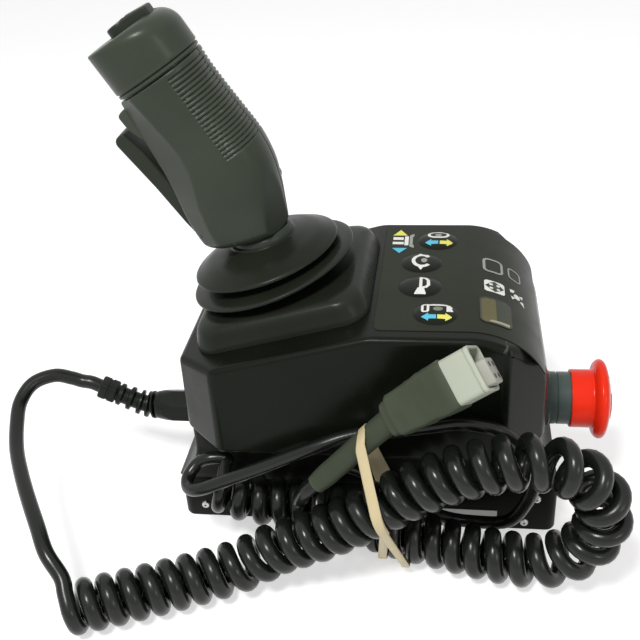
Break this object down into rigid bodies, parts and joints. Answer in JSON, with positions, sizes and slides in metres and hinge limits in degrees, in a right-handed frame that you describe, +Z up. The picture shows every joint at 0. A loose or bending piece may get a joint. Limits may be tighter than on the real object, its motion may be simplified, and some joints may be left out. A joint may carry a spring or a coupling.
{
  "type": "scissor lift control box",
  "caption": "Hand control box of a scissor lift: moulded housing, joystick with boot, trigger and thumb rocker, membrane keys, emergency stop and curly cord.",
  "frame": {"origin": "centre of the foot's underside, where the box stands on its base", "axes": "+X from the joystick end to the emergency stop, +Y away from the side with the connector, +Z up"},
  "size_m": [0.3074, 0.1867, 0.2508],
  "materials": {
    "housing_plastic": "moulded, fine grain",
    "tray_plastic": "moulded, fine grain",
    "seal_rubber": "matt",
    "zinc_steel": "zinc plated",
    "board": "solder mask",
    "relay_plastic": "moulded",
    "overlay_film": "fine textured film",
    "key_film": "domed film",
    "window": "tinted window",
    "display": "glass over a display",
    "gimbal_metal": "die cast",
    "spring_steel": "bright wire",
    "sensor_plastic": "moulded",
    "shaft_steel": "ground",
    "boot_rubber": "soft sheen",
    "collar_plastic": "grey, matt",
    "grip_plastic": "fine texture",
    "rocker_plastic": "fine texture",
    "trigger_plastic": "fine texture",
    "stop_red": "glossy",
    "stop_grey": "satin",
    "contact_plastic": "moulded",
    "gland_plastic": "satin",
    "nickel_brass": "nickel plated",
    "cord_rubber": "soft sheen",
    "plug_boot": "matt",
    "plug_sleeve": "matt, moulded",
    "plug_shell": "pale grey, satin",
    "plug_wedge": "pale grey",
    "pin_metal": "nickel plated",
    "band_rubber": "natural, matt"
  },
  "bodies": {
    "housing": {"main_housing": "housing_plastic", "base_tray": "tray_plastic", "tray_gasket": "seal_rubber", "housing_screws": "zinc_steel", "circuit_board": "board", "board_relays": "relay_plastic", "board_screws": "zinc_steel", "membrane_overlay": "overlay_film", "key_board": "board", "key_board_screws": "zinc_steel", "display_window": "window", "display_module": "display", "gimbal_block": "gimbal_metal", "gimbal_screws": "zinc_steel", "pivot_pin": "shaft_steel", "centring_springs": "spring_steel", "tilt_sensor": "sensor_plastic", "boot_skirt": "boot_rubber", "boot_bellows": "boot_rubber", "stop_collar": "stop_grey", "stop_gasket": "stop_red", "stop_nut": "zinc_steel", "stop_contacts": "contact_plastic", "cable_gland": "gland_plastic", "gland_cap": "gland_plastic", "gland_locknut": "nickel_brass", "strain_relief": "gland_plastic", "cord_tail": "cord_rubber", "coil_cord": "cord_rubber", "cord_lead": "cord_rubber", "connector_boot": "plug_boot", "connector_backshell": "plug_sleeve", "connector_shell": "plug_shell", "connector_wedge": "plug_wedge", "connector_contacts": "pin_metal", "rubber_band": "band_rubber"},
    "lever": {"lever_shaft": "shaft_steel", "grip_collar": "collar_plastic", "grip_near_half": "grip_plastic", "grip_far_half": "grip_plastic", "grip_cap": "grip_plastic", "grip_screws": "zinc_steel", "rocker_pin": "shaft_steel", "trigger_pin": "shaft_steel", "trigger_switch": "sensor_plastic"},
    "thumb_rocker": {"thumb_rocker": "rocker_plastic"},
    "trigger": {"trigger": "trigger_plastic"},
    "stop_plunger": {"stop_stem": "stop_grey"},
    "stop_button": {"stop_head": "stop_red"},
    "horn_key": {"horn_key": "key_film"},
    "beacon_key": {"beacon_key": "key_film"},
    "drive_key_near": {"drive_key_near": "key_film"},
    "drive_key_far": {"drive_key_far": "key_film"}
  },
  "joints": [
    {"name": "lever_tilt", "type": "hinge", "parent": "housing", "child": "lever", "pos_m": [-0.03439, 0, 0.1009], "axis": [0, 1, 0], "range_deg": [-18, 18], "stiffness_Nm_per_rad": 4, "deforming": ["boot_bellows"]},
    {"name": "rocker_tilt", "type": "hinge", "parent": "lever", "child": "thumb_rocker", "pos_m": [-0.09711, 0, 0.23897], "axis": [0.8572, 0, 0.515], "range_deg": [-10, 10], "stiffness_Nm_per_rad": 0.3},
    {"name": "trigger_pull", "type": "hinge", "parent": "lever", "child": "trigger", "pos_m": [-0.07355, 0, 0.15046], "axis": [0, 1, 0], "range_deg": [0, 6], "stiffness_Nm_per_rad": 3},
    {"name": "stop_push", "type": "slide", "parent": "housing", "child": "stop_plunger", "axis": [1, 0, 0], "range_m": [-0.005, 0]},
    {"name": "stop_twist", "type": "hinge", "parent": "stop_plunger", "child": "stop_button", "pos_m": [0.1, 0, 0.0547], "axis": [1, 0, 0], "range_deg": [0, 30], "stiffness_Nm_per_rad": 0.2},
    {"name": "horn_key_press", "type": "slide", "parent": "housing", "child": "horn_key", "axis": [0, 0, 1], "range_m": [-0.0006, 0], "stiffness_N_per_m": 1500},
    {"name": "beacon_key_press", "type": "slide", "parent": "housing", "child": "beacon_key", "axis": [0, 0, 1], "range_m": [-0.0006, 0], "stiffness_N_per_m": 1500},
    {"name": "drive_key_near_press", "type": "slide", "parent": "housing", "child": "drive_key_near", "axis": [0, 0, 1], "range_m": [-0.0006, 0], "stiffness_N_per_m": 1500},
    {"name": "drive_key_far_press", "type": "slide", "parent": "housing", "child": "drive_key_far", "axis": [0, 0, 1], "range_m": [-0.0006, 0], "stiffness_N_per_m": 1500}
  ]
}
